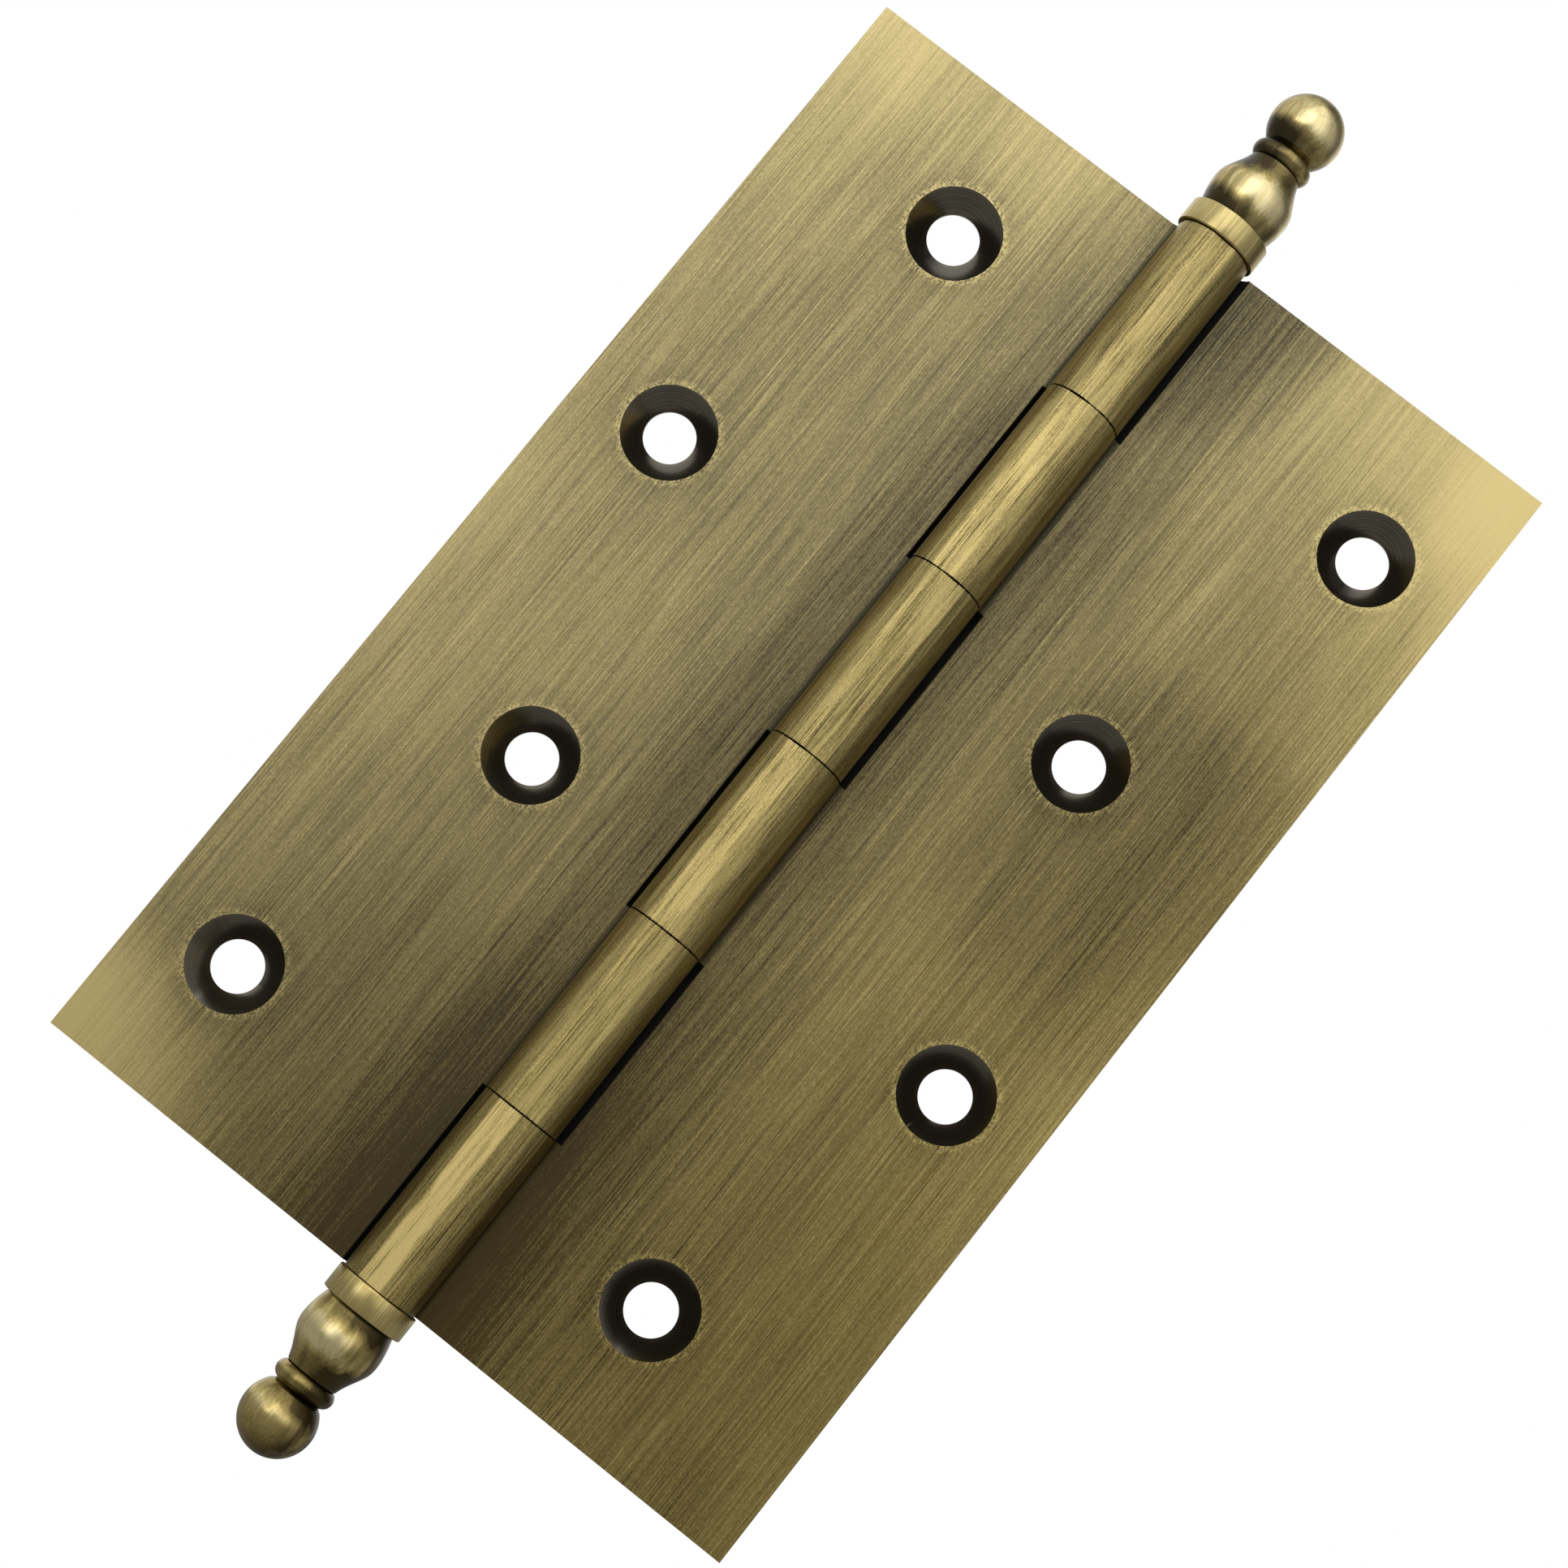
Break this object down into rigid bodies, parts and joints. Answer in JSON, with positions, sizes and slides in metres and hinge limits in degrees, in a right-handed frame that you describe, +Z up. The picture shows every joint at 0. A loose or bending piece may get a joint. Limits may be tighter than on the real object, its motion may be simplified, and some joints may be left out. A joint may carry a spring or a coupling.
{
  "type": "door hinge",
  "caption": "Solid brass butt hinge with a round knuckled barrel, a steel pin, ball-tip finials and countersunk screw holes staggered down both leaves, lying open flat.",
  "frame": {"origin": "on the pin's axis, at the middle of the barrel", "axes": "+Z up along the pin towards the top finial; +X towards the door leaf and -X towards the frame leaf, with the hinge open flat; +Y into the woodwork, so the barrel and the countersinks face -Y"},
  "size_m": [0.08, 0.0088, 0.164],
  "materials": {
    "leaf_brass": "antique brass, brushed along the barrel",
    "finial_brass": "antique brass, turned and rubbed bright on the high places",
    "pin_steel": "plain drawn steel"
  },
  "bodies": {
    "frame_leaf": {"frame_leaf": "leaf_brass"},
    "door_leaf": {"door_leaf": "leaf_brass"},
    "pin_and_finials": {"hinge_pin": "pin_steel", "top_finial": "finial_brass", "bottom_finial": "finial_brass"}
  },
  "joints": [
    {"name": "leaf_swing", "type": "hinge", "parent": "frame_leaf", "child": "door_leaf", "pos_m": [0, 0, 0], "axis": [0, 0, -1], "range_deg": [-65, 180]},
    {"name": "pin_spin", "type": "hinge", "parent": "frame_leaf", "child": "pin_and_finials", "pos_m": [0, 0, 0], "axis": [0, 0, 1], "continuous": true}
  ]
}
